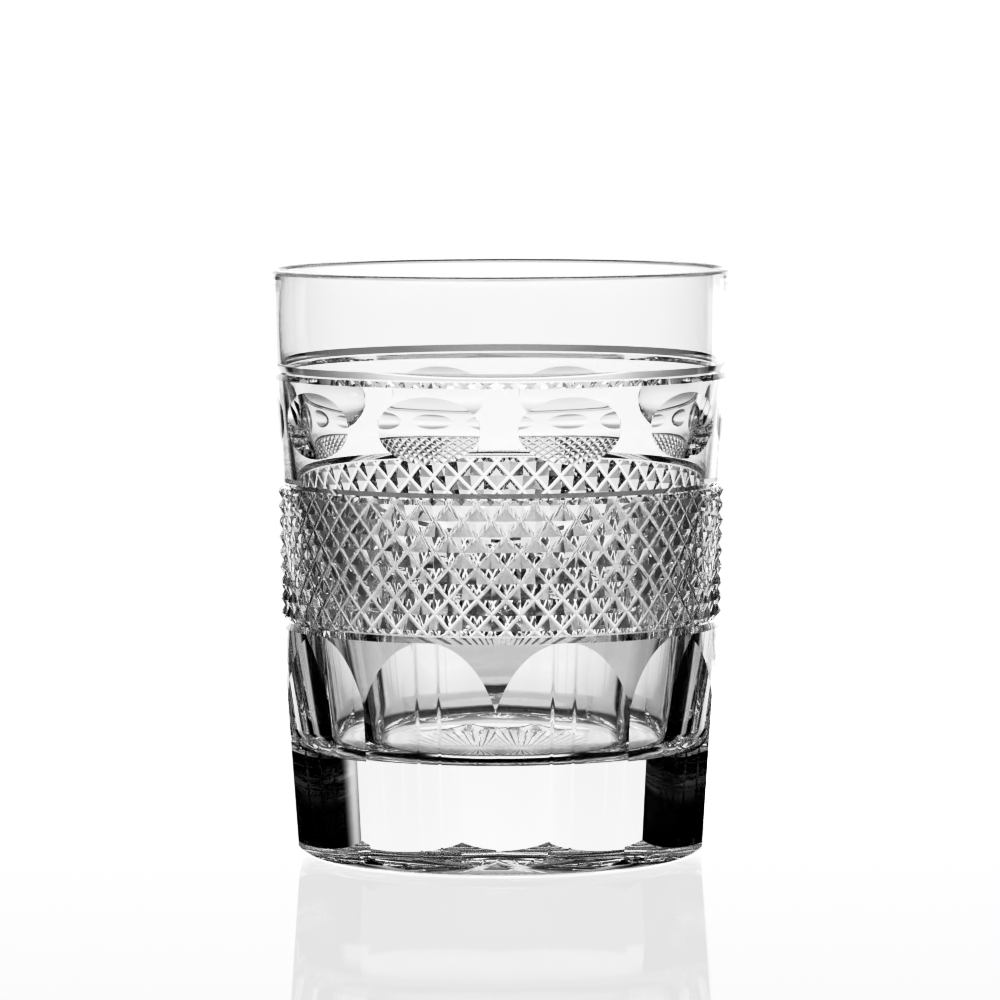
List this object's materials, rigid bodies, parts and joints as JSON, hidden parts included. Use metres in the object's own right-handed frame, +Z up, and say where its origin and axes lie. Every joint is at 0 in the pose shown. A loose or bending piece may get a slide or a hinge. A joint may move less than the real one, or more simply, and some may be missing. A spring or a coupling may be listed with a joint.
{
  "type": "whiskey tumbler",
  "caption": "Heavy straight-sided cut crystal tumbler with flat foot panels, a diamond-cut band, oval cuts and a plain rim.",
  "frame": {"origin": "middle of the underside, on the plane that the tumbler stands on", "axes": "+Z up along the tumbler's axis of symmetry; -Y is the side seen in the front view"},
  "size_m": [0.08, 0.08, 0.1014],
  "materials": {
    "crystal": "polished clear crystal, wheel-cut and acid-polished"
  },
  "bodies": {
    "root": {"tumbler_glass": "crystal"}
  },
  "joints": []
}
